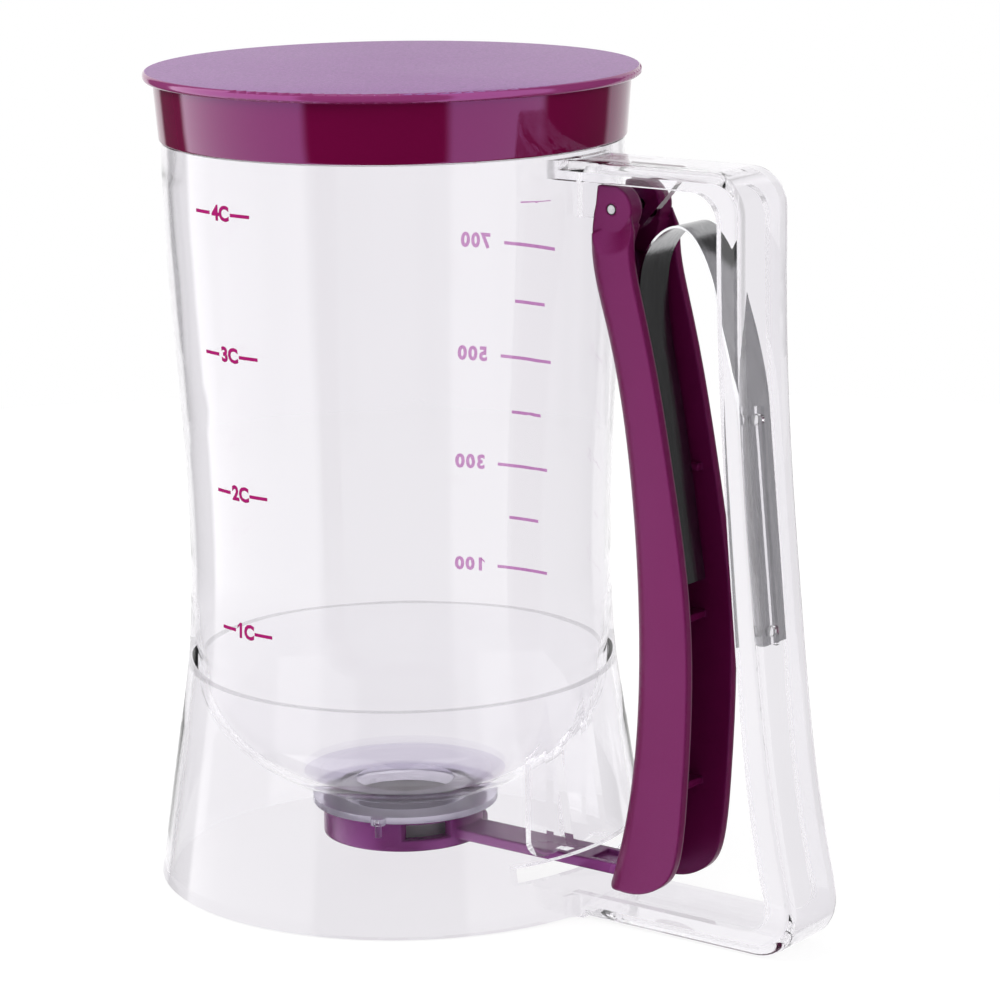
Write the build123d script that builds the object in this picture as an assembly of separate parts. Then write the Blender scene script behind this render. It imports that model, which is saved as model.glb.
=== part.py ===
from build123d import *
import os

# Pancake batter dispenser: a clear hopper on a flared foot, a lift-off lid, and a side handle
# whose trigger pulls a sliding valve from under the spout.
# Millimetres. Origin on the hopper's axis at the table, +Z up, +X towards the handle.

# ---- hopper and foot: outer radius at a few heights ----
rim_z = 192.6
neck_h = 14.2
flange_z = 16.1
flange_drop = 1.5
bowl_depth = 33.0
bowl_z = flange_z + flange_drop + bowl_depth
foot_r = 59.7
hip_r, hip_z = 55.2, 30.0
seam_r, seam_z = 51.9, bowl_z + 1.4
waist_r, waist_z = 51.2, seam_z + 8.0
belly_r, belly_z = 52.4, 122.0
shoulder_r, shoulder_z = 54.6, rim_z - neck_h
wall = 2.0

# ---- neck, inside the lid ----
neck_r = shoulder_r - 1.7
neck_wall = 1.8
neck_slope = 5.0

# ---- bowl floor and spout ----
bowl_gap = 0.4
bowl_r = seam_r - wall - bowl_gap
spout_r = 12.0
collar_r = 16.0
flange_r = 22.6
flange_t = 1.6
peg_x, peg_r, peg_drop = 9.0, 0.8, 3.1
peg_clear = 0.6
peg_foot = 1.0

# ---- foot: slot for the valve's arm, and two guide webs ----
slot_z, slot_h, slot_w = flange_z - 6.1, 4.0, 48.0
web_t = 2.6
web_x = 43.0
web_low_z, web_step_z = 11.8, 14.7
web_lobe_x, web_step_x = 47.6, 51.6

# ---- lid: its band stands a little proud of the shoulder, and its brim proud of the band ----
band_step, band_draft, lid_brim = 0.5, 1.1, 2.3
band_low_r = shoulder_r + band_step
band_top_r = band_low_r + band_draft
lid_r = band_top_r + lid_brim
lid_t = 2.3
lid_edge_round = 1.0
lid_fit = 0.3
lid_gap = 0.3

# ---- handle frame ----
handle_w = 20.0
handle_side_t = 2.2
handle_web_t = 2.5
handle_round = 2.4
top_z = shoulder_z - 0.8
top_bar_t = 4.4
bottom_bar_t = 5.8
top_corner_r, top_inner_r = 9.0, 7.0
foot_corner_r, foot_inner_r = 11.0, 6.0
foot_lean = 3.2
# leg: outer face, height and thickness, from the top down
leg = [(105.2, top_z - 17.6, 6.4), (105.8, top_z - 50.1, 6.1), (109.8, 77.0, 6.4), (115.2, 33.0, 7.2),
       (118.4, 17.5, 7.5)]
flare = 3.0
bond = 0.05

# ---- pivot ----
pin_x = 68.9
pin_z = top_z - 10.3
pin_r = 1.2
pin_press = 0.01
pin_run = 0.07
lug_t = 2.4
lug_drop = 3.5
lug_near_l = 6.0
lug_reach = 11.7
boss_r = 5.6

# ---- trigger ----
trigger_w = 20.0
trigger_t = 2.2
trigger_back_round = 4.4
ear_lap = 0.1
ear_inner_y = 3.75
ear_top_gap = 0.6
# ear outline about the pin, below its top edge
ear_back = [(-5.2, -11.0), (-5.2, -4.5), (-4.75, -1.2), (-4.2, 1.0), (-3.7, 5.0)]
ear_front_r = 5.5
ear_neck_x, ear_neck_drop = 3.6, 7.2
# each side is sunk to the ear's face in a shallow cone about the pin
dish_low_r, dish_r = 5.0, 9.9
# back and rim of the channel seen from the side, from the top down
back_line = [(62.8, pin_z - 6.3), (63.2, pin_z - 12.8), (66.8, pin_z - 26.7), (73.2, pin_z - 60.7), (75.4, 72.0),
             (73.3, 35.4), (68.0, 12.0)]
rim_line = [(75.4, pin_z - 4.7), (75.6, pin_z - 12.3), (77.3, pin_z - 19.8), (79.8, pin_z - 29.5),
            (86.0, pin_z - 60.3), (90.3, 76.0), (90.6, 55.0), (89.3, 33.0)]
# lower end: how far along, and how far above the valve's arm
toe_line = [(87.9, 10.7), (85.2, 3.3), (80.6, -0.3), (76.0, -1.7), (71.8, -1.7)]
heel_x, heel_round = 67.4, 2.0
rib_t = 1.6
# height and depth of the two stiffening ribs
stiff_ribs = [(73.0, 6.1), (33.0, 7.8)]
rest_rib_z = 107.5
rest_gap = 0.3
rest_horn, rest_horn_gap = 2.3, 0.5

# ---- leaf spring: a bent steel strip ----
spring_w, spring_t = 11.0, 0.5
spring_free_end = (85.0, 82.0)
spring_bend = [(78.0, pin_z - 41.3), (74.8, pin_z - 19.3), (77.6, pin_z - 7.9), (85.9, pin_z - 2.9),
               (93.0, pin_z - 10.3), (96.6, pin_z - 21.3)]
spring_fixed = [(101.4, pin_z - 42.3), (106.2, 71.0)]
stake_inset = 3.0
stake_r = 1.3
stake_head_r, stake_head_t = 2.2, 0.6
stake_fit = 0.15
stake_head_gap = 0.2
keel_t = 1.2

# ---- valve ----
valve_r = 20.1
valve_wall, valve_floor = 1.8, 1.8
valve_gap = 0.2
valve_h = 7.5
seal_r = 14.5
seal_gap = 0.1
arm_w, arm_t = 10.0, 2.5
arm_z = slot_z + 0.3
arm_past_hole = 3.8
arm_guide_gap = 0.4
tongue_w, tongue_t = 4.4, 2.0
tongue_below = 1.7
tongue_slack = 0.55
arm_clear = 0.6
recess_l, recess_w, recess_d = 9.0, 6.8, 0.8
window_low, window_h = 2.6, 4.0
window_y, window_x = 6.2, 11.6


def face_of(*curves):
    """A flat face inside curves that meet end to end."""
    return make_face([edge for curve in curves for edge in curve.edges()])


def turned(outline):
    """The solid that an outline of radius and height makes about the hopper's axis."""
    return revolve(Plane.XZ * outline, axis=Axis.Z)


def prism(outline, y_low, y_high):
    """A side outline given thickness from y_low to y_high."""
    block = extrude(Plane.XZ * outline, amount=(y_high - y_low) / 2, both=True)
    return Pos(0, (y_low + y_high) / 2, 0) * block


def both_sides(outline, y_near, y_far):
    """The same plate on the near and the far side."""
    return prism(outline, y_near, y_far) + prism(outline, -y_far, -y_near)


def span(x_low, x_high, z_low, z_high):
    """A rectangle in the side view, by its limits."""
    return Pos((x_low + x_high) / 2, (z_low + z_high) / 2) * Rectangle(x_high - x_low, z_high - z_low)


def block(x_low, x_high, y_low, y_high, z_low, z_high):
    """A box by its limits."""
    return prism(span(x_low, x_high, z_low, z_high), y_low, y_high)


def post(x, y, radius, z_low, z_high):
    """An upright round post."""
    return Pos(x, y, (z_low + z_high) / 2) * Cylinder(radius, z_high - z_low)


def rounded(sketch, radius, *corners):
    """The sketch with the corners nearest to the given points rounded."""
    def nearest(point):
        return min(sketch.vertices(), key=lambda v: (v.X - point[0]) ** 2 + (v.Y - point[1]) ** 2)
    return fillet([nearest(point) for point in corners], radius)


def along(points, z):
    """Where a line of points stands at the height z."""
    ordered = sorted(points, key=lambda point: point[1])
    for (x0, z0), (x1, z1) in zip(ordered, ordered[1:]):
        if z0 <= z <= z1:
            return x0 + (x1 - x0) * (z - z0) / (z1 - z0)
    return ordered[0][0] if z < ordered[0][1] else ordered[-1][0]


def shifted(points, dx):
    return [(x + dx, z) for x, z in points]


# ---------------------------------------------------------------- hopper

upper_wall = [(seam_r, seam_z), (waist_r, waist_z), (belly_r, belly_z), (shoulder_r, shoulder_z)]
lower_wall = [(foot_r, 0), (hip_r, hip_z), (seam_r, seam_z)]
inner_bowl_r = bowl_r - wall
neck_inner_r = neck_r - neck_wall


def bowl_height(radius, at_r, depth):
    """Height of the bowl's surface at a radius."""
    return bowl_z - depth * (1 - (at_r / radius) ** 2) ** 0.5


def hopper_wall_face():
    outer = Spline(*upper_wall)
    inner = Spline(*shifted(upper_wall[1:-1], -wall), (shoulder_r - wall, shoulder_z - 2 * neck_slope))
    return face_of(
        outer,
        Polyline((shoulder_r, shoulder_z), (neck_r, shoulder_z), (neck_r, rim_z), (neck_inner_r, rim_z),
                 (neck_inner_r, shoulder_z - neck_slope), inner @ 1),
        inner,
        Polyline(inner @ 0, (inner_bowl_r, bowl_z), (bowl_r, bowl_z), (bowl_r, seam_z), outer @ 0),
    )


def bowl_face():
    shell = Pos(0, bowl_z) * (Ellipse(bowl_r, bowl_depth) - Ellipse(inner_bowl_r, bowl_depth - wall))
    shell = shell & span(spout_r, bowl_r, bowl_z - bowl_depth, bowl_z)
    collar_top = bowl_height(bowl_r, collar_r, bowl_depth) + wall / 2
    collar = span(spout_r, collar_r, flange_z, collar_top)
    collar = collar - Pos(0, bowl_z) * Ellipse(inner_bowl_r, bowl_depth - wall)
    return shell + collar + span(spout_r, flange_r, flange_z, flange_z + flange_t)


def make_cup():
    cup = turned(hopper_wall_face()) + turned(bowl_face())
    peg_y = -valve_r - peg_clear - peg_r
    peg_ear = post(peg_x, peg_y, peg_r + peg_foot, flange_z, flange_z + flange_t)
    peg = post(peg_x, peg_y, peg_r, flange_z - peg_drop, flange_z + flange_t)
    return cup + peg_ear + peg


def bowl_outside():
    """The bowl's outer shape, filled, for what stands against it."""
    half = Pos(0, bowl_z) * Ellipse(bowl_r + bond, bowl_depth + bond)
    return turned(half & span(0, bowl_r + 1, 0, bowl_z + bowl_depth))


def hopper_outside():
    """The hopper's and foot's outer shape, filled, for what is bonded to it."""
    lower = Spline(*shifted(lower_wall, bond))
    upper = Spline(*shifted(upper_wall, bond))
    top = (shoulder_r + bond, rim_z)
    return turned(face_of(lower, upper, Polyline(upper @ 1, top, (0, rim_z), (0, 0), lower @ 0)))


def foot_face():
    outer = Spline(*lower_wall)
    inner = Spline(*shifted(lower_wall, -wall))
    return face_of(outer, Line(outer @ 1, inner @ 1), inner, Line(inner @ 0, outer @ 0))


def make_base_skirt():
    skirt = turned(foot_face())
    slot = block(0, foot_r, -slot_w / 2, slot_w / 2, slot_z, slot_z + slot_h)
    inner = Spline(*shifted(lower_wall, -wall / 2))
    web = face_of(
        inner,
        Polyline(inner @ 1, (web_x, seam_z), (web_x, slot_z + slot_h)),
        Spline((web_x, slot_z + slot_h), (web_lobe_x, web_low_z), (web_step_x, web_step_z),
               tangents=[(0.3, -1), (0.6, 1)]),
        Polyline((web_step_x, web_step_z), (web_step_x, 0), inner @ 0),
    )
    web = web - span(web_step_x, foot_r, 0, web_step_z)
    y_near = arm_w / 2 + arm_guide_gap
    webs = both_sides(web, y_near, y_near + web_t) - bowl_outside()
    webs = webs - turned(span(inner_bowl_r, bowl_r + bond, bowl_z, seam_z))
    return (skirt - slot) + webs


# ---------------------------------------------------------------- lid

def make_lid():
    inner_r = neck_r + lid_fit
    low_z = shoulder_z + lid_gap
    outline = Polygon((0, rim_z), (inner_r, rim_z), (inner_r, low_z), (band_low_r, low_z), (band_top_r, rim_z),
                      (lid_r, rim_z), (lid_r, rim_z + lid_t), (0, rim_z + lid_t), align=None)
    outline = rounded(outline, lid_edge_round, (lid_r, rim_z), (lid_r, rim_z + lid_t))
    return turned(rounded(outline, lid_edge_round / 2, (band_low_r, low_z)))


# ---------------------------------------------------------------- handle

def loop_face(line, top, bottom, top_r, bottom_r):
    """The side outline that a leg line closes with a level top and bottom and round corners."""
    upper_end, lower_end = line[0], line[-1]
    top_corner = (upper_end[0], top)
    low_corner = (lower_end[0] + foot_lean, bottom)
    outline = face_of(
        Polyline((inside_x, top), top_corner, upper_end),
        Spline(*line),
        Polyline(lower_end, low_corner, (inside_x, bottom), (inside_x, top)),
    )
    return rounded(rounded(outline, top_r, top_corner), bottom_r, low_corner)


def outer_loop(inset):
    """The handle's outer outline, moved in by a wall thickness."""
    line = [(x - inset, z) for x, z, _ in leg]
    return loop_face(line, top_z - inset, inset, top_corner_r - inset, foot_corner_r - inset)


def finger_loop():
    """The edge of the handle's walls round the finger opening."""
    line = [(x - thick, z) for x, z, thick in leg]
    return loop_face(line, top_z - top_bar_t, bottom_bar_t, top_inner_r, foot_inner_r)


inside_x = shoulder_r - 6


def handle_channel():
    """The C section: solid loop, less the finger opening, less the channel inside its walls."""
    outside = prism(outer_loop(0), -handle_w / 2, handle_w / 2)
    long_edges = [edge for edge in outside.edges()
                  if abs(abs(edge.center().Y) - handle_w / 2) < 0.01 and edge.center().X > inside_x + 1]
    outside = fillet(long_edges, handle_round)
    opening = prism(finger_loop(), -handle_w, handle_w)
    half_room = handle_w / 2 - handle_side_t
    return outside - opening - prism(outer_loop(handle_web_t), -half_room, half_room)


def lug_face():
    """The pivot plate under the top bar, from the hopper's wall, with a round boss under the pin."""
    in_bar = top_z - handle_web_t / 2
    near_x, far_x = inside_x, pin_x + lug_reach
    low_z, side_z = pin_z - lug_drop, top_z - top_bar_t - 1.5
    plate = Polygon((near_x, low_z), (shoulder_r + lug_near_l, low_z), (pin_x - 2, pin_z - boss_r + 0.4),
                    (pin_x + boss_r * 0.8, pin_z - boss_r * 0.6), (far_x, side_z),
                    (far_x + top_bar_t, in_bar), (near_x, in_bar), align=None)
    return plate + Pos(pin_x, pin_z) * Circle(boss_r)


def flare_pads():
    """The bars widen in a small curve where they meet the hopper."""
    pads = Part()
    for z_low, z_high, wall_r in ((0, bottom_bar_t - 0.4, foot_r), (top_z - top_bar_t + 0.3, top_z, shoulder_r)):
        half = handle_w / 2 + flare
        wall_x = (wall_r ** 2 - half ** 2) ** 0.5
        pad = block(wall_x - 6, wall_x + flare, -half, half, z_low, z_high)
        for side in (-1, 1):
            pad = pad - post(wall_x + flare, side * half, flare, z_low, z_high)
        half_room = handle_w / 2 - handle_side_t
        pads = pads + (pad - block(wall_x - 7, wall_x + 7, -half_room, half_room, z_low - 1, z_high + 1))
    return pads


def keel():
    """The thin upright inside the leg that the spring lies on, with a stake near each end."""
    z_low, z_high = spring_fixed[-1][1], spring_fixed[0][1]
    front = shifted(spring_fixed, spring_t / 2 + bond)
    far_x = leg[-1][0]
    strip = Polygon(*front, (far_x, z_low), (far_x, z_high), align=None)
    strip = strip & outer_loop(handle_web_t / 2)
    upright = prism(strip, -keel_t / 2, keel_t / 2)
    for z in (z_high - stake_inset, z_low + stake_inset):
        x = along(spring_fixed, z)
        shank = Pos(x, 0, z) * Rot(0, 90, 0) * Cylinder(stake_r, 3 * spring_t + stake_head_t)
        head_x = x - spring_t / 2 - stake_head_gap - stake_head_t / 2
        head = Pos(head_x, 0, z) * Rot(0, 90, 0) * Cylinder(stake_head_r, stake_head_t)
        upright = upright + shank + head
    return upright


def make_handle_frame():
    frame = handle_channel() + flare_pads()
    frame = frame + prism(lug_face(), -lug_t / 2, lug_t / 2)
    frame = frame - prism(Pos(pin_x, pin_z) * Circle(pin_r + pin_press), -lug_t, lug_t)
    return frame - hopper_outside() + keel()


# ---------------------------------------------------------------- trigger

ear_top_z = top_z - top_bar_t - ear_top_gap
ear_outer_y = trigger_w / 2 - trigger_t + ear_lap
channel_top_z = pin_z
heel = (heel_x, arm_z + toe_line[-1][1])


def trigger_side():
    """The trigger seen from the side: back wall, lower end, rim, and a tip each side of the ear."""
    toe = [(x, arm_z + above) for x, above in toe_line]
    back, rim = Spline(*back_line), Spline(*rim_line, *toe)
    inside = ear_front_r * 0.8
    tips = Polyline(rim @ 0, (pin_x + ear_front_r, pin_z - 1), (pin_x + inside, pin_z - 1),
                    (pin_x - inside / 2, pin_z - inside), back @ 0)
    return face_of(back, Polyline(back @ 1, heel, rim @ 1), rim, tips)


def ear_dishes():
    """The shallow cones sunk round the pin, one in each side, down to the ears' faces."""
    depth = trigger_w / 2 - ear_outer_y
    slope = (dish_r - dish_low_r) / depth
    cone = Cone(dish_low_r, dish_r + slope, depth + 1, align=(Align.CENTER, Align.CENTER, Align.MIN))
    near = Pos(pin_x, -ear_outer_y, pin_z) * Rot(90, 0, 0) * cone
    return near + mirror(near, about=Plane.XZ)


def ear_face():
    """The thick ear round the pin: round in front, flat on top and behind, standing in the channel's mouth."""
    top = ear_top_z - pin_z
    stem = Polygon(*ear_back, (ear_back[-1][0] + 0.4, top), (0, top), (ear_front_r * 0.9, -ear_neck_drop / 2),
                   (ear_neck_x, -ear_neck_drop), (ear_neck_x - 0.6, ear_back[0][1]), align=None)
    front = Circle(ear_front_r) & span(-ear_neck_x / 2, ear_front_r, -ear_front_r, top)
    return Pos(pin_x, pin_z) * (stem + front)


def rib_face(side, z, x_limit):
    return side & span(0, x_limit, z - rib_t / 2, z + rib_t / 2)


def make_trigger():
    side = trigger_side()
    half = trigger_w / 2
    shell = prism(side, -half, half)
    long_edge = (back_line[0][1] - back_line[-1][1]) / 2
    back_edges = [edge for edge in shell.edges()
                  if abs(abs(edge.center().Y) - half) < 0.01
                  and edge.center().X < along(back_line, edge.center().Z) + 2 and edge.length > long_edge]
    shell = fillet(back_edges, trigger_back_round) & prism(rounded(side, heel_round, heel), -half, half)
    room_for_ears = prism(Pos(pin_x, pin_z) * Circle(ear_front_r), -ear_outer_y, ear_outer_y)
    shell = shell - ear_dishes() - room_for_ears
    inner_back = shifted(back_line, trigger_t)
    far_x = max(x for x, _ in rim_line) + trigger_w
    hollow_line = Spline((inner_back[0][0], channel_top_z + 1), *inner_back, (inner_back[-1][0] - 3, 0))
    hollow = face_of(hollow_line, Polyline(hollow_line @ 1, (far_x, 0), (far_x, channel_top_z + 1), hollow_line @ 0))
    room = prism(hollow, -half + trigger_t, half - trigger_t)
    room_edges = [edge for edge in room.edges()
                  if abs(abs(edge.center().Y) - half + trigger_t) < 0.01
                  and edge.center().X < along(inner_back, edge.center().Z) + 4 and edge.length > long_edge]
    trigger = shell - fillet(room_edges, trigger_back_round - trigger_t)
    rest_x = along([spring_free_end, spring_bend[0]], rest_rib_z) - spring_t / 2 - rest_gap
    ribs = rib_face(side, rest_rib_z, rest_x)
    for z, depth in stiff_ribs:
        ribs = ribs + rib_face(side, z, along(inner_back, z) + depth)
    rib_sink = trigger_t * 0.75
    ribs = ribs - behind(back_line, rib_sink)
    trigger = trigger + prism(ribs, rib_sink - half, half - rib_sink)
    # the rest rib goes on past the spring's two edges
    horns = rib_face(side, rest_rib_z, rest_x + rest_horn) - behind(back_line, trigger_t)
    trigger = trigger + both_sides(horns, spring_w / 2 + rest_horn_gap, half - rib_sink)
    trigger = trigger + both_sides(ear_face(), ear_inner_y, ear_outer_y)
    trigger = trigger - prism(Pos(pin_x, pin_z) * Circle(pin_r + pin_run), -half - 1, half + 1)
    arm_top = arm_z + arm_t + arm_clear
    tongue_x = tongue_centre()
    gate = block(0, tongue_x + arm_past_hole, -arm_w / 2 - arm_clear, arm_w / 2 + arm_clear, 0, arm_top)
    tongue = block(tongue_x - tongue_t / 2, tongue_x + tongue_t / 2, -tongue_w / 2, tongue_w / 2,
                   arm_z - tongue_below, arm_top + 1)
    return trigger - gate + tongue


def behind(points, depth):
    """A face over everything nearer the hopper than a depth inside the back wall."""
    line = Spline(*shifted(points, depth))
    return face_of(line, Polyline(line @ 1, (0, points[-1][1]), (0, points[0][1]), line @ 0))


def tongue_centre():
    """The tongue goes down in line with the back wall's middle."""
    return along(back_line, arm_z + arm_t + arm_clear) + trigger_t / 2


def make_pivot_pin():
    return Pos(pin_x, 0, pin_z) * Rot(90, 0, 0) * Cylinder(pin_r, 2 * ear_outer_y)


def make_leaf_spring():
    start = Vector(*spring_bend[0]) - Vector(*spring_free_end)
    finish = Vector(*spring_fixed[1]) - Vector(*spring_fixed[0])
    bend = Spline(spring_free_end, *spring_bend, spring_fixed[0], tangents=[start, finish])
    path = Plane.XZ * Wire([bend, Line(*spring_fixed)])
    section = Plane(path @ 0, x_dir=(0, 1, 0), z_dir=path % 0) * Rectangle(spring_w, spring_t)
    strip = sweep(section, path=path)
    z_low, z_high = spring_fixed[-1][1], spring_fixed[0][1]
    for z in (z_high - stake_inset, z_low + stake_inset):
        hole = Pos(along(spring_fixed, z), 0, z) * Rot(0, 90, 0) * Cylinder(stake_r + stake_fit, 6)
        strip = strip - hole
    return strip


# ---------------------------------------------------------------- valve

valve_top = flange_z - valve_gap
valve_low = valve_top - valve_h


def make_valve_slider():
    dish = post(0, 0, valve_r, valve_low, valve_top)
    dish = dish - post(0, 0, valve_r - valve_wall, valve_low + valve_floor, valve_top + 1)
    for side in (-1, 1):
        y_low, y_high = sorted((side * window_y, side * valve_r))
        window_z = valve_low + window_low
        dish = dish - block(window_x, valve_r, y_low, y_high, window_z, window_z + window_h)
    half_hole = tongue_t / 2 + tongue_slack
    tongue_x = tongue_centre()
    end_x = tongue_x + half_hole + arm_past_hole
    arm = block(valve_r - valve_wall, end_x, -arm_w / 2, arm_w / 2, arm_z, arm_z + arm_t)
    arm = fillet(arm.edges().filter_by(Axis.Z).group_by(Axis.X)[-1], arm_w / 5)
    recess = block(tongue_x - half_hole - recess_l, tongue_x - half_hole - 1, -recess_w / 2, recess_w / 2,
                   arm_z + arm_t - recess_d, arm_z + arm_t + 1)
    hole = block(tongue_x - half_hole, tongue_x + half_hole, -tongue_w / 2 - arm_guide_gap,
                 tongue_w / 2 + arm_guide_gap, arm_z - 1, arm_z + arm_t + 1)
    return dish + (arm - recess - hole)


def make_valve_seal():
    return post(0, 0, seal_r, valve_low + valve_floor, flange_z - seal_gap)


nodes = {
    "cup": make_cup,
    "base_skirt": make_base_skirt,
    "handle_frame": make_handle_frame,
    "lid": make_lid,
    "trigger": make_trigger,
    "pivot_pin": make_pivot_pin,
    "leaf_spring": make_leaf_spring,
    "valve_slider": make_valve_slider,
    "valve_seal": make_valve_seal,
}

os.makedirs("parts", exist_ok=True)
for name, make in nodes.items():
    export_step(make(), f"parts/{name}.step")
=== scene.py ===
from functools import partial
import math

import bmesh
import bpy
import numpy as np
from mathutils import Matrix, Vector


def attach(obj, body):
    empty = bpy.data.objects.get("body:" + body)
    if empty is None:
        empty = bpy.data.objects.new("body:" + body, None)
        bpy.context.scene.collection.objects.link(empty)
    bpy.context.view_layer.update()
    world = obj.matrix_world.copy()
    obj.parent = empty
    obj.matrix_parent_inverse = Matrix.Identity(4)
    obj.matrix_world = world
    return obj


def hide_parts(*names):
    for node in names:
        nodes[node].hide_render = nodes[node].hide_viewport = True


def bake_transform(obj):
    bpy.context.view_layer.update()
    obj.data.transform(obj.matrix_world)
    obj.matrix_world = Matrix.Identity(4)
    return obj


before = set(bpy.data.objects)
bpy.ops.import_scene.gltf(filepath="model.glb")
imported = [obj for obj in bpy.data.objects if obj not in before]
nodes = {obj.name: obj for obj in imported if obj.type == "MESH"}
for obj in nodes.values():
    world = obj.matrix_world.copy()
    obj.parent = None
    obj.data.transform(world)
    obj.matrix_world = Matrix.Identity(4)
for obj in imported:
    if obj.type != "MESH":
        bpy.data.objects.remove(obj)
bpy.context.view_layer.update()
collection = bpy.context.scene.collection


# ---------------------------------------------------------------- node tools

def link(tree, out_socket, in_socket):
    tree.links.new(out_socket, in_socket)


def put(tree, value, socket):
    """Links another node's output to a socket, or sets the socket to a plain value."""
    if isinstance(value, bpy.types.NodeSocket):
        link(tree, value, socket)
    else:
        socket.default_value = value


def feed(tree, node, **values):
    """Sets or links a node's inputs by name, with underscores for blanks."""
    for name, value in values.items():
        put(tree, value, node.inputs[name.replace("_", " ")])
    return node


def add_node(tree, kind, **settings):
    node = tree.nodes.new(kind)
    for name, value in settings.items():
        setattr(node, name, value)
    return node


def maths(tree, operation, *values, **settings):
    node = add_node(tree, "ShaderNodeMath", operation=operation, **settings)
    for value, socket in zip(values, node.inputs):
        put(tree, value, socket)
    return node.outputs[0]


def mapped(tree, value, from_low, from_high, to_low, to_high, **settings):
    """A value moved from one range to another, and held at that range's ends."""
    node = feed(tree, add_node(tree, "ShaderNodeMapRange", **settings), Value=value,
                From_Min=from_low, From_Max=from_high, To_Min=to_low, To_Max=to_high)
    return node.outputs["Result"]


def blended(tree, factor, first, second, data_type="FLOAT"):
    """A mix of two numbers, or of two colours with the data type RGBA."""
    node = feed(tree, add_node(tree, "ShaderNodeMix", data_type=data_type), Factor=factor, A=first, B=second)
    return node.outputs["Result"]


def parts_of(tree, vector):
    """The X, Y and Z of a vector."""
    split = add_node(tree, "ShaderNodeSeparateXYZ")
    link(tree, vector, split.inputs[0])
    return split.outputs


def object_place(tree):
    return add_node(tree, "ShaderNodeTexCoord").outputs["Object"]


def noise(tree, place, **values):
    return feed(tree, add_node(tree, "ShaderNodeTexNoise"), Vector=place, **values).outputs["Fac"]


def distance(tree, first, second):
    """The length of a line that runs this far in two directions at right angles."""
    squares = [maths(tree, "POWER", value, 2.0) for value in (first, second)]
    return maths(tree, "SQRT", maths(tree, "ADD", *squares))


def shader_group(name, inputs, outputs):
    """An empty shader group: its inputs' names with their usual numbers, and its outputs' names."""
    group = bpy.data.node_groups.new(name, "ShaderNodeTree")
    for socket, value in inputs.items():
        made = group.interface.new_socket(name=socket, in_out="INPUT", socket_type="NodeSocketFloat")
        made.default_value = value
    for socket in outputs:
        group.interface.new_socket(name=socket, in_out="OUTPUT", socket_type="NodeSocketFloat")
    given = group.nodes.new("NodeGroupInput").outputs
    return group, given, group.nodes.new("NodeGroupOutput")


def use_group(tree, group, **values):
    return feed(tree, add_node(tree, "ShaderNodeGroup", node_tree=group), **values).outputs


# ---------------------------------------------------------------- shared surface effects

BEVEL_SAMPLES = 6


def make_moulding_group():
    """Slow sink and flow waves of moulded plastic, with fine grain on top of them."""
    group, given, finish = shader_group(
        "moulded_surface",
        {"Wave Size": 30.0, "Wave Height": 0.2, "Grain Size": 2500.0, "Grain Height": 0.02,
         "Gloss": 0.1, "Gloss Change": 0.05},
        ("Height", "Roughness"))
    place = object_place(group)
    wave = noise(group, place, Scale=given["Wave Size"], Detail=1.0)
    grain = noise(group, place, Scale=given["Grain Size"], Detail=2.0, Roughness=0.6)
    wave_part = maths(group, "MULTIPLY", wave, given["Wave Height"])
    centred = maths(group, "SUBTRACT", wave, 0.5)
    feed(group, finish,
         Height=maths(group, "MULTIPLY_ADD", grain, given["Grain Height"], wave_part),
         Roughness=maths(group, "MULTIPLY_ADD", centred, given["Gloss Change"], given["Gloss"],
                         use_clamp=True))
    return group


moulding_group = make_moulding_group()


def new_material(name):
    material = bpy.data.materials.new(name)
    material.use_nodes = True
    tree = material.node_tree
    return material, tree, tree.nodes["Principled BSDF"]


def moulded(tree, shader, bump_depth, edge_round=0.0, **values):
    """Feeds roughness and bump of a material from the moulding group, with softly rounded edges if asked."""
    surface = use_group(tree, moulding_group, **values)
    bump = feed(tree, add_node(tree, "ShaderNodeBump"), Distance=bump_depth, Height=surface["Height"])
    if edge_round:
        soft_edge = feed(tree, add_node(tree, "ShaderNodeBevel", samples=BEVEL_SAMPLES), Radius=edge_round)
        feed(tree, bump, Normal=soft_edge.outputs["Normal"])
    feed(tree, shader, Normal=bump.outputs["Normal"], Roughness=surface["Roughness"])


def tinted(tree, dark, light, scale):
    """A slight cloudy change of colour over the surface."""
    cloud = noise(tree, object_place(tree), Scale=scale, Detail=3.0)
    return blended(tree, cloud, (*dark, 1), (*light, 1), "RGBA")


# ---------------------------------------------------------------- clear plastic

# Inside the seam's thick ring, light that enters at one index of refraction and leaves at another gets caught
# and goes black. So both sides of a wall have the same index at the same height. All lengths are in metres.
SPOUT_FROST_TOP, SPOUT_FROST_FADE = 0.0222, 0.003
SPOUT_REACH = 0.025                  # the frosted parts lie closer to the axis than this
SPOUT_HAZE = (0.76, 0.73, 0.82, 1)
CLEAR_GLOSS, FROSTED_GLOSS = 0.02, 0.34
USUAL_IOR, BONDED_IOR = 1.19, 1.03
ROUND_PARTS_REACH = 0.0605           # hopper and foot lie closer to the axis than this
BOWL_REACH, BOWL_LOW, BOWL_HIGH = 0.0497, 0.019, 0.052
FOOT_EDGE = 0.003                    # below this height the bonded index is used in full
FOOT_LOW, FOOT_HIGH = 0.004, 0.038   # down the foot, the bonded share falls to the next number
FOOT_SHARE = 0.35
WALL_LOW, WALL_HIGH = 0.069, 0.078   # up the hopper's wall, the bonded share falls to nothing
WEBS_FROM, WEBS_HIGH = 0.027, 0.050  # the webs lie past this X and below this height
BOWL_WIDE, BOWL_MIDDLE, BOWL_DEEP = 0.0495, 0.0506, 0.033   # the bowl's outside as half an ellipsoid
BOWL_SLACK = 1.04                    # a point past this, where the ellipsoid has 1, is clear of the bowl


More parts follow.
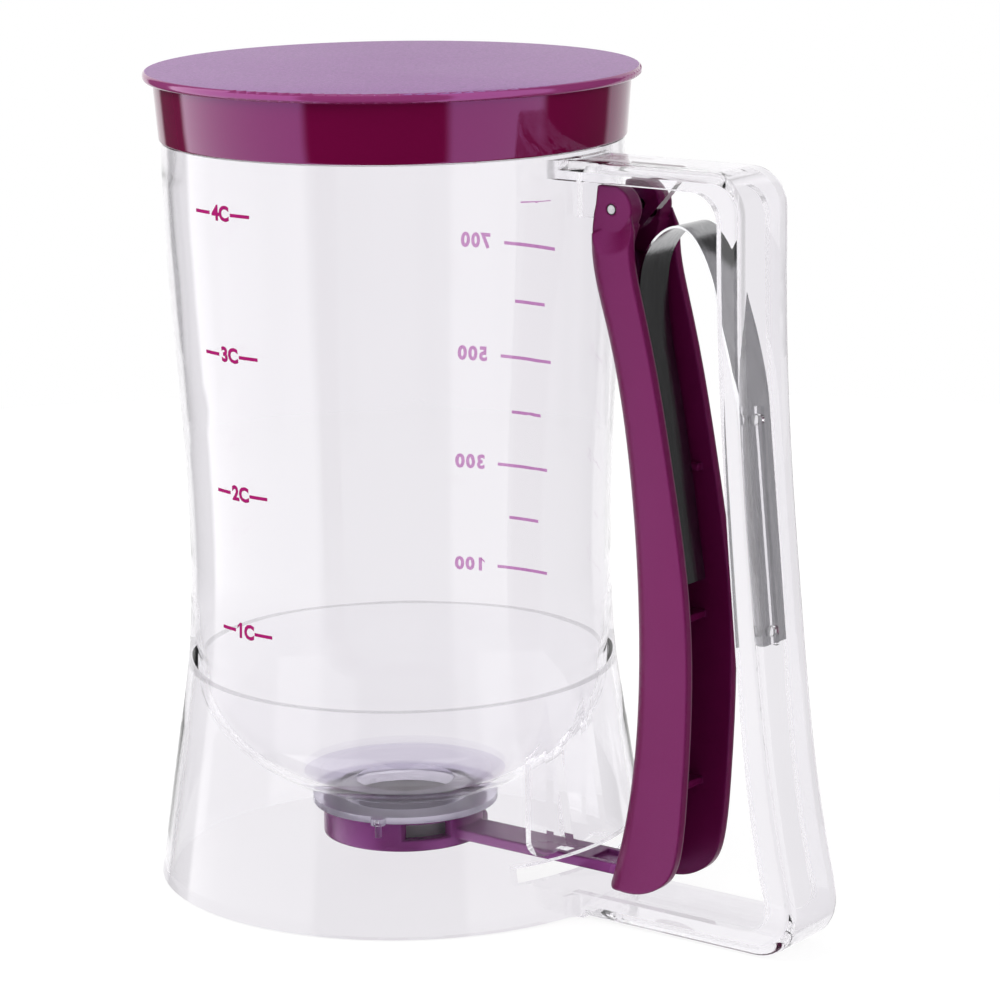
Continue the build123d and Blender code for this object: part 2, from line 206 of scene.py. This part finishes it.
def make_frost_group():
    """Roughness that fades from frosted low down round the spout to clear above it."""
    group, given, finish = shader_group(
        "frosted_spout", {"Top Height": 0.02, "Spread": 0.005, "Clear Gloss": 0.02, "Frosted Gloss": 0.3},
        ("Gloss", "Frosted Share"))
    across, depth, height = parts_of(group, object_place(group))
    near_axis = maths(group, "LESS_THAN", distance(group, across, depth), SPOUT_REACH)
    above = maths(group, "ADD", given["Top Height"], given["Spread"])
    fade = mapped(group, height, given["Top Height"], above, 1.0, 0.0)
    share = maths(group, "MULTIPLY", fade, near_axis)
    feed(group, finish, Frosted_Share=share,
         Gloss=blended(group, share, given["Clear Gloss"], given["Frosted Gloss"]))
    return group


def make_bonded_group():
    """Index of refraction: low in the bowl and round the cemented seam, a little higher down the foot."""
    group, given, finish = shader_group(
        "bonded_zones", {"Usual IOR": 1.23, "Bonded IOR": 1.03, "Bowl Radius": 0.05, "Bowl Foot": 0.02},
        ("IOR",))
    calc = partial(maths, group)
    across, depth, height = parts_of(group, object_place(group))
    radius = distance(group, across, depth)
    on_round_parts = calc("LESS_THAN", radius, ROUND_PARTS_REACH)
    inside = calc("LESS_THAN", radius, given["Bowl Radius"])
    level_with_bowl = calc("MULTIPLY", calc("GREATER_THAN", height, given["Bowl Foot"]),
                           calc("LESS_THAN", height, BOWL_HIGH))
    in_bowl = calc("MULTIPLY", inside, level_with_bowl)
    round_seam = calc("MINIMUM", mapped(group, height, FOOT_LOW, FOOT_HIGH, FOOT_SHARE, 1.0),
                      mapped(group, height, WALL_LOW, WALL_HIGH, 1.0, 0.0))
    zone = calc("MAXIMUM", calc("MAXIMUM", round_seam, in_bowl), calc("LESS_THAN", height, FOOT_EDGE))
    bowl_out = calc("POWER", calc("DIVIDE", radius, BOWL_WIDE), 2.0)
    bowl_down = calc("POWER", calc("DIVIDE", calc("SUBTRACT", height, BOWL_MIDDLE), BOWL_DEEP), 2.0)
    under_bowl = calc("GREATER_THAN", calc("ADD", bowl_out, bowl_down), BOWL_SLACK)
    near_handle = calc("MULTIPLY", calc("GREATER_THAN", across, WEBS_FROM),
                       calc("LESS_THAN", height, WEBS_HIGH))
    on_webs = calc("MULTIPLY", calc("MULTIPLY", near_handle, inside), under_bowl)
    share = calc("MULTIPLY", calc("MULTIPLY", zone, on_round_parts), calc("SUBTRACT", 1.0, on_webs))
    feed(group, finish, IOR=blended(group, share, given["Usual IOR"], given["Bonded IOR"]))
    return group


def clear_plastic():
    material, tree, shader = new_material("clear_moulded_plastic")
    frost = use_group(tree, make_frost_group(), Top_Height=SPOUT_FROST_TOP, Spread=SPOUT_FROST_FADE,
                      Clear_Gloss=CLEAR_GLOSS, Frosted_Gloss=FROSTED_GLOSS)
    bend = use_group(tree, make_bonded_group(), Usual_IOR=USUAL_IOR, Bonded_IOR=BONDED_IOR,
                     Bowl_Radius=BOWL_REACH, Bowl_Foot=BOWL_LOW)
    clear_tint = tinted(tree, (0.978, 0.975, 0.983), (0.995, 0.993, 0.998), 30.0)
    feed(tree, shader, Transmission_Weight=1.0, IOR=bend["IOR"],
         Coat_Weight=0.4, Coat_IOR=1.4, Coat_Roughness=0.03,
         Base_Color=blended(tree, frost["Frosted Share"], clear_tint, SPOUT_HAZE, "RGBA"))
    moulded(tree, shader, 0.0003, Wave_Size=38.0, Wave_Height=0.12, Grain_Size=1400.0, Grain_Height=0.0,
            Gloss=frost["Gloss"], Gloss_Change=0.03)
    return material


def cement():
    """A thin, slightly grey film that lets nearly all light through."""
    material, tree, shader = new_material("clear_seam_cement")
    feed(tree, shader, Alpha=0.22, IOR=1.2,
         Base_Color=tinted(tree, (0.45, 0.44, 0.47), (0.75, 0.74, 0.77), 120.0))
    moulded(tree, shader, 0.0001, Wave_Size=90.0, Wave_Height=0.2, Grain_Size=900.0, Grain_Height=0.1,
            Gloss=0.3, Gloss_Change=0.1)
    return material


# ---------------------------------------------------------------- purple plastic

PURPLE_SHINE = (0.85, 0.36, 1.0, 1)
# A lighter purple painted on the lid's rounded brim as a highlight.
BRIM_HIGHLIGHT_PURPLE = (0.24, 0.035, 0.14, 1)
SIDE_PURPLES = (0.118, 0.0008, 0.030, 1), (0.126, 0.0012, 0.034, 1)
# The top's grain colours are paler and more violet than the sides: moulded grain, and partly a painted sheen
# of the top.
TOP_GRAIN_AND_SHEEN_PURPLES = (0.06, 0.03, 0.10, 1), (0.42, 0.16, 0.46, 1)
BRIM_LOW, BRIM_HIGH = 0.1922, 0.1934        # the sides' colour turns to the brim's painted highlight between these heights
GRAINED_TOP = 0.1940                        # faces that look up above this height have the moulded grain, and a pale violet colour that is partly painted sheen
LOOKS_UP = 0.9                              # least upward part of the normal of a face that looks up


def purple_plastic(name, dark, light, gloss, grain, shine=0.5):
    material, tree, shader = new_material(name)
    feed(tree, shader, IOR=1.5, Specular_Tint=PURPLE_SHINE, Specular_IOR_Level=shine,
         Base_Color=tinted(tree, dark, light, 60.0))
    moulded(tree, shader, 0.0002, edge_round=0.0009, Wave_Size=45.0, Wave_Height=0.2, Grain_Size=2600.0,
            Grain_Height=grain, Gloss=gloss, Gloss_Change=0.08)
    return material


def make_upward_group():
    """A mask that is one on faces that look up, above a height, and zero elsewhere."""
    group, given, finish = shader_group("upward_faces", {"From Height": 0.0}, ("Mask",))
    facing = parts_of(group, add_node(group, "ShaderNodeNewGeometry").outputs["True Normal"])
    place = parts_of(group, object_place(group))
    upward = maths(group, "GREATER_THAN", facing["Z"], LOOKS_UP)
    high = maths(group, "GREATER_THAN", place["Z"], given["From Height"])
    feed(group, finish, Mask=maths(group, "MULTIPLY", upward, high))
    return group


def lid_plastic():
    """Polished sides and edge, with a fine grain moulded into the top. The brim's rounded edge has a lighter
    purple painted on as a highlight, and the top's pale violet colour is moulded grain and partly a painted
    sheen.
    """
    material, tree, shader = new_material("polished_lid_purple")
    top = use_group(tree, make_upward_group(), From_Height=GRAINED_TOP)["Mask"]
    cloud = noise(tree, object_place(tree), Scale=1500.0, Detail=3.0, Roughness=0.6)
    # The brim's band gets the painted highlight colour, by height.
    brim_highlight_share = mapped(tree, parts_of(tree, object_place(tree))["Z"], BRIM_LOW, BRIM_HIGH, 0.0, 1.0)
    sides = blended(tree, brim_highlight_share, blended(tree, cloud, *SIDE_PURPLES, "RGBA"), BRIM_HIGHLIGHT_PURPLE, "RGBA")
    # Grain colours of the top, partly painted sheen.
    grain_and_painted_sheen = blended(tree, cloud, *TOP_GRAIN_AND_SHEEN_PURPLES, "RGBA")
    feed(tree, shader, IOR=1.5, Specular_Tint=PURPLE_SHINE,
         Base_Color=blended(tree, top, sides, grain_and_painted_sheen, "RGBA"))
    moulded(tree, shader, 0.0002, Wave_Size=30.0, Wave_Height=0.1, Grain_Size=2200.0, Gloss_Change=0.04,
            Grain_Height=blended(tree, top, 0.0, 0.6), Gloss=blended(tree, top, 0.06, 0.38))
    return material


# ---------------------------------------------------------------- steel, rubber and ink

PIN_X, PIN_Z = 0.0689, 0.1673
PIN_RIM_FROM, PIN_RIM_TO = 0.00090, 0.00108     # the pin's ends get a ring of painted shade between these radii
# Near black: painted shade in a ring at the rim of the pin's ends.
PIN_RIM_SHADE = (0.015, 0.012, 0.014, 1)
STREAK_DEPTH, STREAK_ROUGHNESS = 0.00003, 0.16


def steel(name, dark, light, gloss, streak_scale):
    """Rolled or drawn steel with streaks along one direction."""
    material, tree, shader = new_material(name)
    stretch = feed(tree, add_node(tree, "ShaderNodeMapping"), Vector=object_place(tree), Scale=streak_scale)
    streaks = noise(tree, stretch.outputs["Vector"], Scale=1.0, Detail=4.0, Roughness=0.7)
    bump = feed(tree, add_node(tree, "ShaderNodeBump"), Distance=STREAK_DEPTH, Height=streaks)
    feed(tree, shader, Metallic=1.0, Normal=bump.outputs["Normal"],
         Base_Color=blended(tree, streaks, (*dark, 1), (*light, 1), "RGBA"),
         Roughness=maths(tree, "MULTIPLY_ADD", streaks, STREAK_ROUGHNESS, gloss))
    return material


def paint_rim_shade(material, middle_x, middle_z, rim_from, rim_to):
    """Paints a ring of shade on steel towards the rim of a round end, by the distance from a level axis along
    Y.
    """
    tree = material.node_tree
    colour = tree.nodes["Principled BSDF"].inputs["Base Color"]
    usual = colour.links[0].from_socket
    across, _, height = parts_of(tree, object_place(tree))
    reach = distance(tree, maths(tree, "SUBTRACT", across, middle_x),
                     maths(tree, "SUBTRACT", height, middle_z))
    rim = mapped(tree, reach, rim_from, rim_to, 0.0, 1.0)
    link(tree, blended(tree, rim, usual, PIN_RIM_SHADE, "RGBA"), colour)


def rubber():
    material, tree, shader = new_material("soft_seal_rubber")
    feed(tree, shader, IOR=1.42, Transmission_Weight=0.5,
         Base_Color=tinted(tree, (0.42, 0.40, 0.42), (0.62, 0.60, 0.62), 120.0))
    moulded(tree, shader, 0.0002, Wave_Size=60.0, Wave_Height=0.2, Grain_Size=1500.0, Grain_Height=0.2,
            Gloss=0.35, Gloss_Change=0.1)
    return material


def ink(name, dark, light, see_through=0.0):
    """Pad printed ink, a little uneven. Light shines through thin ink."""
    material, tree, shader = new_material(name)
    feed(tree, shader, Transmission_Weight=see_through, IOR=1.05, Base_Color=tinted(tree, dark, light, 900.0))
    moulded(tree, shader, 0.00002, Wave_Size=400.0, Wave_Height=0.3, Grain_Size=4000.0, Grain_Height=0.3,
            Gloss=0.45, Gloss_Change=0.1)
    return material


clear = clear_plastic()
seam_cement = cement()
lid_purple = lid_plastic()
trigger_purple = purple_plastic("satin_trigger_purple", (0.112, 0.0030, 0.048), (0.130, 0.0045, 0.060),
                                gloss=0.30, grain=0.25, shine=0.27)
valve_purple = purple_plastic("pale_valve_purple", (0.17, 0.020, 0.13), (0.22, 0.035, 0.19),
                              gloss=0.26, grain=0.25)
spring_steel = steel("rolled_spring_steel", (0.20, 0.20, 0.205), (0.40, 0.40, 0.41),
                     gloss=0.08, streak_scale=(900, 900, 25))
pin_steel = steel("drawn_pin_steel", (0.06, 0.06, 0.062), (0.42, 0.42, 0.43),
                  gloss=0.3, streak_scale=(1600, 40, 1600))
# A ring of painted shade round the rim of the pin's ends.
paint_rim_shade(pin_steel, PIN_X, PIN_Z, PIN_RIM_FROM, PIN_RIM_TO)
seal_rubber = rubber()
scale_ink = ink("printed_scale_ink", (0.30, 0.008, 0.11), (0.42, 0.016, 0.17))
pale_ink = ink("printed_scale_ink_seen_from_behind", (0.46, 0.16, 0.42), (0.70, 0.32, 0.66), see_through=1.0)


# ---------------------------------------------------------------- pieces from the moulded shapes

SAME_POINT = 0.000002           # corners closer than this are one corner
SEAM_SLACK = 0.00005            # a corner this close to the seam's height lies on the seam
CREASE_DEGREES = 22.0
SPRING_CREASE_DEGREES = 40.0
SPRING_CUTS = np.arange(0.070, 0.166, 0.003)    # heights


def add_piece(name, mesh, material, body):
    piece = bpy.data.objects.new(name, mesh)
    collection.objects.link(piece)
    mesh.materials.clear()
    mesh.materials.append(material)
    if body:
        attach(piece, body)
    return piece


def smooth_copy(node, crease_degrees):
    """The node's mesh with its doubles merged and its faces smooth up to a crease."""
    mesh = nodes[node].data.copy()
    work = bmesh.new()
    work.from_mesh(mesh)
    bmesh.ops.remove_doubles(work, verts=work.verts, dist=SAME_POINT)
    for face in work.faces:
        face.smooth = True
    crease = math.radians(crease_degrees)
    for edge in work.edges:
        edge.smooth = edge.is_manifold and edge.calc_face_angle(0) < crease
    work.to_mesh(mesh)
    work.free()
    return mesh


def dressed(name, node, material, body):
    piece = add_piece(name, smooth_copy(node, CREASE_DEGREES), material, body)
    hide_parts(node)
    return piece


def join_at_seam(piece, height):
    """Gives the bonded seam's flat faces the cement's finish, so that light goes straight through them."""
    mesh = piece.data
    mesh.materials.append(seam_cement)
    for face in mesh.polygons:
        if all(abs(mesh.vertices[index].co.z - height) < SEAM_SLACK for index in face.vertices):
            face.material_index = 1


hopper = dressed("hopper", "cup", clear, "frame")
foot = dressed("flared_foot", "base_skirt", clear, "frame")
seam_height = max(vertex.co.z for vertex in nodes["base_skirt"].data.vertices)
join_at_seam(hopper, seam_height)
join_at_seam(foot, seam_height)
dressed("handle_loop", "handle_frame", clear, "frame")
dressed("press_on_lid", "lid", lid_purple, "lid")
dressed("squeeze_trigger", "trigger", trigger_purple, "trigger")
dressed("hinge_pin", "pivot_pin", pin_steel, "frame")
dressed("sliding_valve", "valve_slider", valve_purple, "valve")
dressed("spout_seal", "valve_seal", seal_rubber, "valve")


def leaf_spring():
    """The steel strip between handle and trigger, cut finely along its length."""
    mesh = smooth_copy("leaf_spring", SPRING_CREASE_DEGREES)
    work = bmesh.new()
    work.from_mesh(mesh)
    for height in SPRING_CUTS:
        everything = list(work.verts) + list(work.edges) + list(work.faces)
        bmesh.ops.bisect_plane(work, geom=everything, plane_co=(0, 0, height), plane_no=(0, 0, 1))
    work.to_mesh(mesh)
    work.free()
    strip = add_piece("leaf_spring_strip", mesh, spring_steel, None)
    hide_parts("leaf_spring")
    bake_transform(strip)


leaf_spring()


# ---------------------------------------------------------------- printed volume scale

INK_LIFT, INK_DEPTH = 0.00003, 0.00004
LETTER_HEIGHT, LETTER_BOLD = 0.0034, 0.00022
FONT_SIZE = LETTER_HEIGHT * 1.38            # the font's capitals are lower than its size
BAR_HEIGHT = 0.0008
BAR_CORNERS = 14                            # along a bar, so that it follows the round wall
FLAG_LENGTH, FLAG_DROP, FLAG_THICK = 0.00075, 0.00085, 0.00055  # the stroke at the head of a figure one
CUP_LEAN, ML_LEAN = math.radians(-4.0), math.radians(-26.0)     # turn of each scale per metre of height
SCALE_MIDDLE = 0.110                        # the height at which the angles below are measured
PRINT_LOW, PRINT_HIGH = 0.057, 0.1715       # the hopper's heights that can carry print
BOWL_OUTSIDE = 0.0505                       # the bowl's own faces are closer to the axis than this
FACES_OUT = 0.8                             # least outward part of the normal of an outward face
MARKS = 4                                   # numbered marks in each scale
CUP_FIRST, CUP_STEP, CUP_DEGREES = 0.0676, 0.0328, -96.7
ML_FIRST, ML_STEP, ML_DEGREES = 0.0627, 0.0137, 107.9


def wall_profile():
    """Cubic fit of the hopper's outer radius against height, from the moulded wall's outward faces."""
    mesh = nodes["cup"].data
    on_outside = set()
    for face in mesh.polygons:
        outward = Vector((face.center.x, face.center.y, 0)).normalized()
        if face.normal.dot(outward) > FACES_OUT:
            on_outside.update(face.vertices)
    points = np.array([mesh.vertices[index].co for index in on_outside])
    heights, radii = points[:, 2], np.hypot(points[:, 0], points[:, 1])
    keep = (heights > PRINT_LOW) & (heights < PRINT_HIGH) & (radii > BOWL_OUTSIDE)
    return np.polyfit(heights[keep], radii[keep], 3)


curve_3, curve_2, curve_1, curve_0 = wall_profile()


def wall_radius(height):
    return ((curve_3 * height + curve_2) * height + curve_1) * height + curve_0


def on_wall(angle, height, lift, lean):
    radius = wall_radius(height) + lift
    turn = angle + lean * (height - SCALE_MIDDLE)
    return Vector((radius * math.cos(turn), radius * math.sin(turn), height))


def make_bars_tree():
    """Level printed bars at even heights, curved to the hopper's wall."""
    tree = bpy.data.node_groups.new("level_bars_on_wall", "GeometryNodeTree")
    sockets = [("Geometry", "Geometry"), ("Count", "Int")]
    sockets += [(name, "Float") for name in (
        "First Height", "Step", "From Angle", "To Angle", "Bar Height", "Ink Depth", "Lean", "Middle",
        "Cube Term", "Square Term", "Slope Term", "Base Radius")]
    for name, kind in sockets + [("Ink", "Material")]:
        tree.interface.new_socket(name=name, in_out="INPUT", socket_type="NodeSocket" + kind)
    tree.interface.new_socket(name="Geometry", in_out="OUTPUT", socket_type="NodeSocketGeometry")
    given = tree.nodes.new("NodeGroupInput").outputs
    finish = tree.nodes.new("NodeGroupOutput")
    calc = partial(maths, tree)

    def step(kind, output="Geometry", settings=None, **values):
        return feed(tree, add_node(tree, kind, **(settings or {})), **values).outputs[output]

    def vector_of(x, y, z):
        return step("ShaderNodeCombineXYZ", "Vector", X=x, Y=y, Z=z)

    def position():
        return parts_of(tree, add_node(tree, "GeometryNodeInputPosition").outputs[0])

    line = step("GeometryNodeMeshLine", "Mesh", {"mode": "OFFSET"}, Count=given["Count"],
                Start_Location=vector_of(0, 0, given["First Height"]), Offset=vector_of(0, 0, given["Step"]))
    grid = step("GeometryNodeMeshGrid", "Mesh", Size_X=1.0, Size_Y=given["Bar Height"],
                Vertices_X=BAR_CORNERS, Vertices_Y=2)
    here = position()
    sweep = calc("SUBTRACT", given["To Angle"], given["From Angle"])
    angle = calc("MULTIPLY_ADD", calc("ADD", here["X"], 0.5), sweep, given["From Angle"])
    bent = step("GeometryNodeSetPosition", Geometry=grid,
                Position=vector_of(calc("COSINE", angle), calc("SINE", angle), here["Y"]))

    height = position()["Z"]
    bow = calc("MULTIPLY_ADD", height, given["Cube Term"], given["Square Term"])
    slope = calc("MULTIPLY_ADD", height, bow, given["Slope Term"])
    radius = calc("MULTIPLY_ADD", height, slope, given["Base Radius"])
    turn = calc("MULTIPLY", calc("SUBTRACT", height, given["Middle"]), given["Lean"])
    bars = step("GeometryNodeInstanceOnPoints", "Instances", Points=line, Instance=bent,
                Rotation=step("FunctionNodeEulerToRotation", "Rotation", Euler=vector_of(0, 0, turn)),
                Scale=vector_of(radius, radius, 1.0))

    real = step("GeometryNodeRealizeInstances", Geometry=bars)
    front = step("GeometryNodeExtrudeMesh", "Mesh", Mesh=real, Individual=False,
                 Offset_Scale=given["Ink Depth"])
    back = step("GeometryNodeFlipFaces", "Mesh", Mesh=real)
    both = tree.nodes.new("GeometryNodeJoinGeometry")
    for side in (front, back):
        link(tree, side, both.inputs["Geometry"])
    closed = step("GeometryNodeMergeByDistance", Distance=0.000001, Geometry=both.outputs["Geometry"])
    done = step("GeometryNodeRealizeInstances", Geometry=closed)
    feed(tree, finish, Geometry=step("GeometryNodeSetMaterial", Geometry=done, Material=given["Ink"]))
    return tree


bars_tree = make_bars_tree()


def as_mesh(name, maker):
    """A plain mesh of what an object shows: its modifier's result or its text. The object is removed."""
    collection.objects.link(maker)
    bpy.context.view_layer.update()
    depsgraph = bpy.context.evaluated_depsgraph_get()
    mesh = bpy.data.meshes.new_from_object(maker.evaluated_get(depsgraph))
    mesh.name = name
    bpy.data.objects.remove(maker)
    return mesh


def printed_bars(name, first, step, from_degrees, to_degrees, lean, paint):
    """Level bars at even heights, one for each mark."""
    maker = bpy.data.objects.new(name + "_maker", bpy.data.meshes.new(name + "_seed"))
    modifier = maker.modifiers.new("grow", "NODES")
    modifier.node_group = bars_tree
    values = {
        "Count": MARKS, "First Height": first, "Step": step, "From Angle": math.radians(from_degrees),
        "To Angle": math.radians(to_degrees), "Bar Height": BAR_HEIGHT, "Ink Depth": INK_DEPTH, "Lean": lean,
        "Middle": SCALE_MIDDLE, "Cube Term": float(curve_3), "Square Term": float(curve_2),
        "Slope Term": float(curve_1), "Base Radius": float(curve_0) + INK_LIFT, "Ink": paint}
    for item in bars_tree.interface.items_tree:
        if item.item_type == "SOCKET" and item.in_out == "INPUT" and item.name in values:
            modifier[item.identifier] = values[item.name]
    add_piece(name, as_mesh(name, maker), paint, "frame")


def add_flag(mesh):
    """Adds the short slanting stroke at the head of a leading figure one."""
    left = min(vertex.co.x for vertex in mesh.vertices)
    top = max(vertex.co.y for vertex in mesh.vertices if vertex.co.x < left + 2 * LETTER_BOLD)
    deep = max(vertex.co.z for vertex in mesh.vertices)
    tip_x, tip_y = left - FLAG_LENGTH, top - FLAG_DROP
    outline = [(left + LETTER_BOLD, top), (tip_x, tip_y), (tip_x, tip_y - FLAG_THICK),
               (left + LETTER_BOLD, top - FLAG_THICK)]
    work = bmesh.new()
    work.from_mesh(mesh)
    front = [work.verts.new((x, y, deep)) for x, y in outline]
    back = [work.verts.new((x, y, -deep)) for x, y in outline]
    work.faces.new(front)
    work.faces.new(list(reversed(back)))
    for corner in range(4):
        after = (corner + 1) % 4
        work.faces.new((front[after], front[corner], back[corner], back[after]))
    work.to_mesh(mesh)
    work.free()


def printed_words(name, text, degrees, height, lean, paint, spacing=1.0):
    """Plain characters laid round the wall, centred on an angle."""
    curve = bpy.data.curves.new(name, "FONT")
    curve.body = text
    curve.align_x = "CENTER"
    curve.align_y = "CENTER"
    curve.size = FONT_SIZE
    curve.space_character = spacing
    curve.extrude = INK_DEPTH / 2
    curve.bevel_depth = LETTER_BOLD
    curve.bevel_resolution = 0
    curve.resolution_u = 3
    mesh = as_mesh(name, bpy.data.objects.new(name + "_writer", curve))
    if text.startswith("1"):
        add_flag(mesh)
    middle = math.radians(degrees)
    deepest = max(vertex.co.z for vertex in mesh.vertices)
    for vertex in mesh.vertices:
        x, y, depth = vertex.co
        level = height + y
        angle = middle + x / wall_radius(level)
        vertex.co = on_wall(angle, level, INK_LIFT + (1 + depth / deepest) * INK_DEPTH / 2, lean)
    add_piece(name, mesh, paint, "frame")


printed_bars("cup_bars_left", CUP_FIRST, CUP_STEP, -106.2, -100.6, CUP_LEAN, scale_ink)
printed_bars("cup_bars_right", CUP_FIRST, CUP_STEP, -93.3, -87.2, CUP_LEAN, scale_ink)
for number in range(1, MARKS + 1):
    printed_words(f"cup_mark_{number}", f"{number}C", CUP_DEGREES, CUP_FIRST + (number - 1) * CUP_STEP,
                  CUP_LEAN, scale_ink)

printed_bars("ml_bars_long", ML_FIRST, 2 * ML_STEP, 81.7, 99.3, ML_LEAN, pale_ink)
printed_bars("ml_bars_short", ML_FIRST + ML_STEP, 2 * ML_STEP, 84.8, 95.2, ML_LEAN, pale_ink)
for number in range(MARKS):
    printed_words(f"ml_mark_{number}", str(100 + 200 * number), ML_DEGREES, ML_FIRST + 2 * number * ML_STEP,
                  ML_LEAN, pale_ink, spacing=1.2)


# ---------------------------------------------------------------- floor and light

BENT_LIGHT_TINT = (0.985, 0.965, 1.0, 1)    # of rays that have been through the clear wall
FLOOR_RADIUS, FLOOR_LEVEL = 0.6, -0.0004
FLOOR_GLOW, FLOOR_GLOW_BENT = 1.17, 0.895
FLOOR_SHARE, FLOOR_SHARE_BENT = 0.72, 0.9   # how much of the floor's look is its own glow
DIFFUSE_LIGHT, GLOSS_LIGHT = 0.62, 0.10
FRONT_DEGREES = 39.3 - 90.0                 # the direction that the camera looks from
# bright panels that gloss shows: from and to in degrees from the front, and strength
GLOSS_PANELS = ((-122, -44, 3.3), (27, 78, 3.0), (128, 180, 1.0), (-180, -150, 1.0))
PANEL_FADE = 3.0                            # degrees
GAPS, GAPS_TURN = 8.0, 22.0                 # narrow dark gaps that bent rays see, and their turn in degrees
GAP_FROM, GAP_LIGHT, GAP_DARK = 0.50, 0.885, 0.60
HIGH_FROM, HIGH_TO, HIGH_DARK = 0.30, 0.75, 0.82    # overhead it is a little darker for bent rays
LAMPS_FACE = Vector((0.02, 0, 0.1))


def bent_light_tint(tree, rays):
    return blended(tree, rays["Is Transmission Ray"], (1, 1, 1, 1), BENT_LIGHT_TINT, "RGBA")


def floor():
    bpy.ops.mesh.primitive_circle_add(vertices=96, radius=FLOOR_RADIUS, fill_type="NGON",
                                      location=(0, 0, FLOOR_LEVEL))
    ground = bpy.context.object
    ground.name = "pale_floor"
    material, tree, shader = new_material("pale_floor_paint")
    feed(tree, shader, Base_Color=(0.86, 0.86, 0.86, 1), Roughness=0.6, Specular_IOR_Level=0.1)
    rays = add_node(tree, "ShaderNodeLightPath").outputs
    bent = rays["Is Transmission Ray"]
    direct = maths(tree, "MULTIPLY", rays["Is Camera Ray"], FLOOR_SHARE)
    share = maths(tree, "MULTIPLY_ADD", bent, FLOOR_SHARE_BENT, direct, use_clamp=True)
    glow = feed(tree, add_node(tree, "ShaderNodeEmission"), Color=bent_light_tint(tree, rays),
                Strength=blended(tree, bent, FLOOR_GLOW, FLOOR_GLOW_BENT))
    mix = add_node(tree, "ShaderNodeMixShader")
    for output, socket in zip((share, shader.outputs[0], glow.outputs[0]), mix.inputs):
        link(tree, output, socket)
    feed(tree, tree.nodes["Material Output"], Surface=mix.outputs[0])
    ground.data.materials.append(material)
    ground.visible_glossy = False


floor()


def edge_at(degrees):
    """Where a panel's soft edge starts and ends, in radians."""
    return math.radians(degrees - PANEL_FADE), math.radians(degrees + PANEL_FADE)


def studio():
    """A plain light tent: white where it is seen, with darker gaps between its panels for other rays."""
    world = bpy.data.worlds.new("light_tent")
    bpy.context.scene.world = world
    world.use_nodes = True
    tree = world.node_tree
    tree.nodes.clear()
    calc = partial(maths, tree)
    soft_step = partial(mapped, tree, interpolation_type="SMOOTHSTEP")
    x, y, z = parts_of(tree, add_node(tree, "ShaderNodeTexCoord").outputs["Generated"])
    turn = calc("ARCTAN2", y, x)
    from_front = calc("WRAP", calc("SUBTRACT", turn, math.radians(FRONT_DEGREES)), math.pi, -math.pi)
    gloss_light = GLOSS_LIGHT
    for low, high, strength in GLOSS_PANELS:
        rise = soft_step(from_front, *edge_at(low), 0, strength)
        fall = soft_step(from_front, *edge_at(high), 1, 0)
        gloss_light = calc("MULTIPLY_ADD", rise, fall, gloss_light)
    lobes = calc("COSINE", calc("MULTIPLY", calc("SUBTRACT", turn, math.radians(GAPS_TURN)), GAPS))
    bent_light = calc("MULTIPLY", soft_step(lobes, GAP_FROM, 1.0, GAP_LIGHT, GAP_DARK),
                      soft_step(z, HIGH_FROM, HIGH_TO, 1.0, HIGH_DARK))

    rays = add_node(tree, "ShaderNodeLightPath").outputs
    light = DIFFUSE_LIGHT
    for kind, level in (("Glossy", gloss_light), ("Transmission", bent_light), ("Camera", 1.0)):
        light = blended(tree, rays[f"Is {kind} Ray"], light, level)
    shine = feed(tree, add_node(tree, "ShaderNodeBackground"), Strength=light,
                 Color=bent_light_tint(tree, rays))
    feed(tree, add_node(tree, "ShaderNodeOutputWorld"), Surface=shine.outputs[0])


studio()


def soft_box(name, place, width, height, power):
    """A rectangular lamp that faces the part, and isn't seen in gloss or through the clear wall."""
    data = bpy.data.lights.new(name, "AREA")
    data.shape = "RECTANGLE"
    data.size, data.size_y = width, height
    data.energy = power
    lamp = bpy.data.objects.new(name, data)
    lamp.location = place
    lamp.rotation_euler = (LAMPS_FACE - Vector(place)).to_track_quat("-Z", "Y").to_euler()
    lamp.visible_glossy = False
    lamp.visible_transmission = False
    collection.objects.link(lamp)


soft_box("key_panel", (-0.55, -0.75, 0.75), width=0.6, height=0.6, power=7.0)
soft_box("side_panel", (0.95, -0.15, 0.45), width=0.5, height=0.7, power=3.5)


# ---------------------------------------------------------------- camera

CAMERA_PLACE = Vector((0.55557, -0.67878, 0.28846))
CAMERA_FORWARD = Vector((-0.59687, 0.77142, -0.22057))
CAMERA_ROLL = -0.0124
SENSOR_MM, LENS_MM = 36.0, 134.53
NEAREST, FARTHEST = 0.01, 20.0


def camera():
    data = bpy.data.cameras.new("front_camera")
    data.sensor_width = SENSOR_MM
    data.sensor_fit = "AUTO"
    data.lens = LENS_MM
    data.clip_start, data.clip_end = NEAREST, FARTHEST
    eye = bpy.data.objects.new("front_camera", data)
    collection.objects.link(eye)
    forward = CAMERA_FORWARD.normalized()
    right = forward.cross(Vector((0, 0, 1))).normalized()
    up = right.cross(forward)
    turned_right = right * math.cos(CAMERA_ROLL) + up * math.sin(CAMERA_ROLL)
    turned_up = up * math.cos(CAMERA_ROLL) - right * math.sin(CAMERA_ROLL)
    turn = Matrix((turned_right, turned_up, -forward)).transposed()
    eye.matrix_world = Matrix.Translation(CAMERA_PLACE) @ turn.to_4x4()
    bpy.context.scene.camera = eye


camera()
bpy.context.scene.view_settings.view_transform = "Standard"
